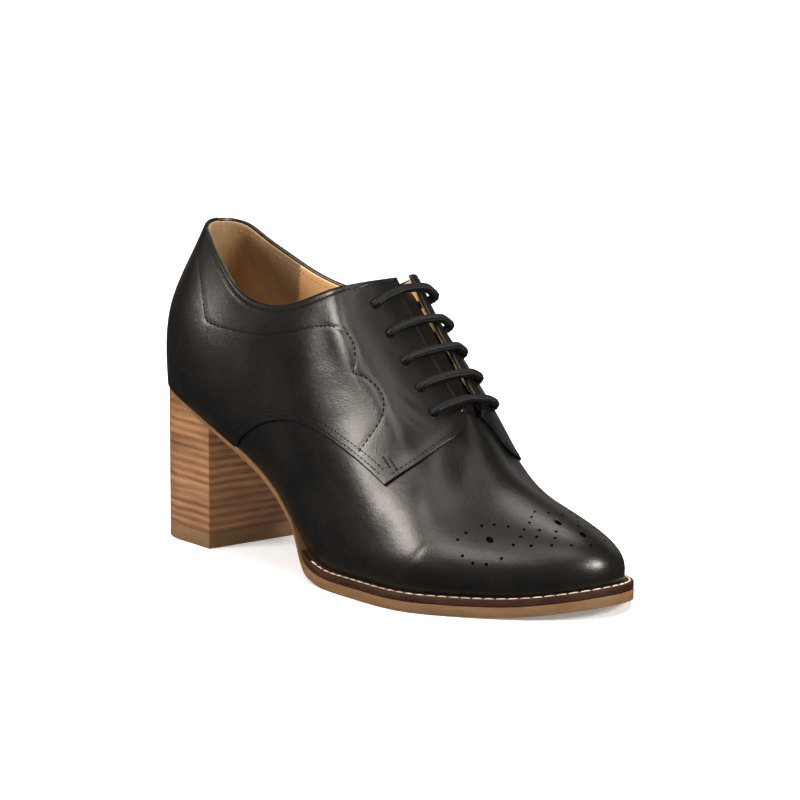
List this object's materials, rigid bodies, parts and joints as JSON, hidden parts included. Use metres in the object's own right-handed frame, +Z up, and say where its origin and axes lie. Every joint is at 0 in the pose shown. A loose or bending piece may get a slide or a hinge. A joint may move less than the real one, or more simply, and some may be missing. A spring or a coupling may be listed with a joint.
{
  "type": "derby shoe",
  "caption": "Heeled derby shoe for the right foot: hollow black leather upper with open lacing over a tongue, welted tan sole and stacked block heel.",
  "frame": {"origin": "centre of the bounding box in plan, on the floor under the sole", "axes": "+X from the heel to the toe, +Y to the inner (medial) side, which is the left of a right shoe, +Z up"},
  "size_m": [0.233, 0.0888, 0.1253],
  "materials": {
    "black_leather": "smooth semi-gloss black calf with a warm grey sheen",
    "tongue_leather": "smooth black, less glossy than the upper",
    "insole_leather": "matt tan lining leather",
    "outsole_tan": "matt tan",
    "welt_brown": "dark brown, waxed",
    "heel_stack": "stacked layers in warm brown, waxed",
    "top_lift_tan": "matt olive tan",
    "lace_black": "waxed round braid"
  },
  "bodies": {
    "root": {"upper": "black_leather", "tongue": "tongue_leather", "insole": "insole_leather", "outsole": "outsole_tan", "welt": "welt_brown", "heel": "heel_stack", "heel_top_lift": "top_lift_tan", "laces": "lace_black"}
  },
  "joints": []
}
